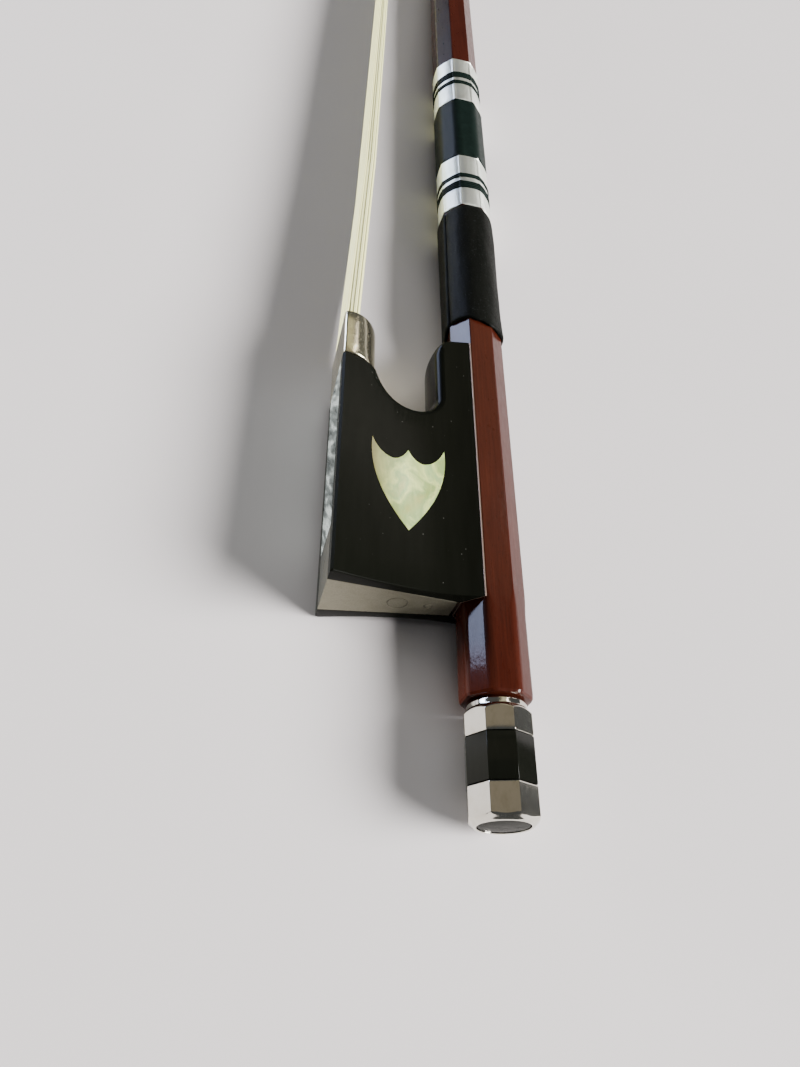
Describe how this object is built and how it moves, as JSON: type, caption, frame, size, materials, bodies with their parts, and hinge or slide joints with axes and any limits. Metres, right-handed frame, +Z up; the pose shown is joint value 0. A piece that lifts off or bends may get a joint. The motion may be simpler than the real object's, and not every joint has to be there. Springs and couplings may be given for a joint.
{
  "type": "violin bow",
  "caption": "Violin bow lying on its side: octagonal stick with carved head, hair ribbon, wound grip and an ebony-like frog moved by an end screw.",
  "frame": {"origin": "under the middle of the bow's bounding box, on the surface that it lies on", "axes": "+Y along the handle of the stick towards the head, +X from the hair towards the top of the stick, +Z up; the bow lies on its side, rolled a few degrees so that the frog's lower edge, the leather and the head touch the surface"},
  "size_m": [0.048, 0.7452, 0.0131],
  "materials": {
    "varnished_wood": "dark red-brown varnished pernambuco-like wood, glossy",
    "ebony": "black ebony, satin",
    "box_wood": "pale plain wood, unfinished",
    "pearl": "pale green and cream mother-of-pearl, polished",
    "slide_pearl": "blue-grey mother-of-pearl, polished",
    "nickel_silver": "nickel silver, polished and lightly scratched",
    "silver_foil": "bright silver foil, smooth",
    "brass": "plain brass",
    "steel": "plain steel",
    "dark_silk": "dark green-black silk lapping, tight and shiny",
    "black_leather": "black grained leather, worn smooth",
    "white_bone": "white bone-like plate, satin",
    "horse_hair": "cream-white straight horse hair",
    "tied_thread": "red binding thread"
  },
  "bodies": {
    "stick": {"stick": "varnished_wood", "head_liner": "ebony", "head_plate": "white_bone", "head_plug": "box_wood", "hair_head_knot": "tied_thread", "thumb_leather": "black_leather", "grip_foil_rear": "silver_foil", "grip_centre_band": "dark_silk", "grip_foil_front": "silver_foil", "grip_stripe_rear_wide": "dark_silk", "grip_stripe_rear_narrow": "dark_silk", "grip_stripe_front_narrow": "dark_silk", "grip_stripe_front_wide": "dark_silk", "hair_ribbon": "horse_hair"},
    "frog": {"frog_body": "ebony", "frog_slide_pearl": "slide_pearl", "frog_slide_backing": "ebony", "heel_plate": "nickel_silver", "heel_pin_upper": "nickel_silver", "heel_pin_lower": "nickel_silver", "heel_pin_leg": "nickel_silver", "frog_lining": "nickel_silver", "lining_pin_rear": "nickel_silver", "lining_pin_front": "nickel_silver", "ferrule": "nickel_silver", "ferrule_wedge": "box_wood", "frog_plug": "box_wood", "hair_frog_knot": "tied_thread", "shield_inlay_upper": "pearl", "shield_inlay_lower": "pearl", "eyelet": "brass"},
    "screw": {"screw_shaft": "steel", "button_core": "ebony", "button_front_ring": "nickel_silver", "button_rear_ring": "nickel_silver", "button_eye": "slide_pearl", "ring_pin_front_1": "steel", "ring_pin_front_2": "steel", "ring_pin_rear_1": "steel", "ring_pin_rear_2": "steel"}
  },
  "joints": [
    {"name": "screw_turn", "type": "hinge", "parent": "stick", "child": "screw", "pos_m": [-0.00121, -0.35783, 0.00512], "axis": [0, 1, 0], "range_deg": [-1441, 2881]},
    {"name": "frog_slide", "type": "slide", "parent": "stick", "child": "frog", "axis": [0, 1, 0], "range_m": [-0.006, 0.003], "deforming": ["hair_ribbon"]}
  ],
  "couplings": [
    {"joint": "screw_turn", "follows": "frog_slide", "rad_per_m": -8377.6}
  ]
}
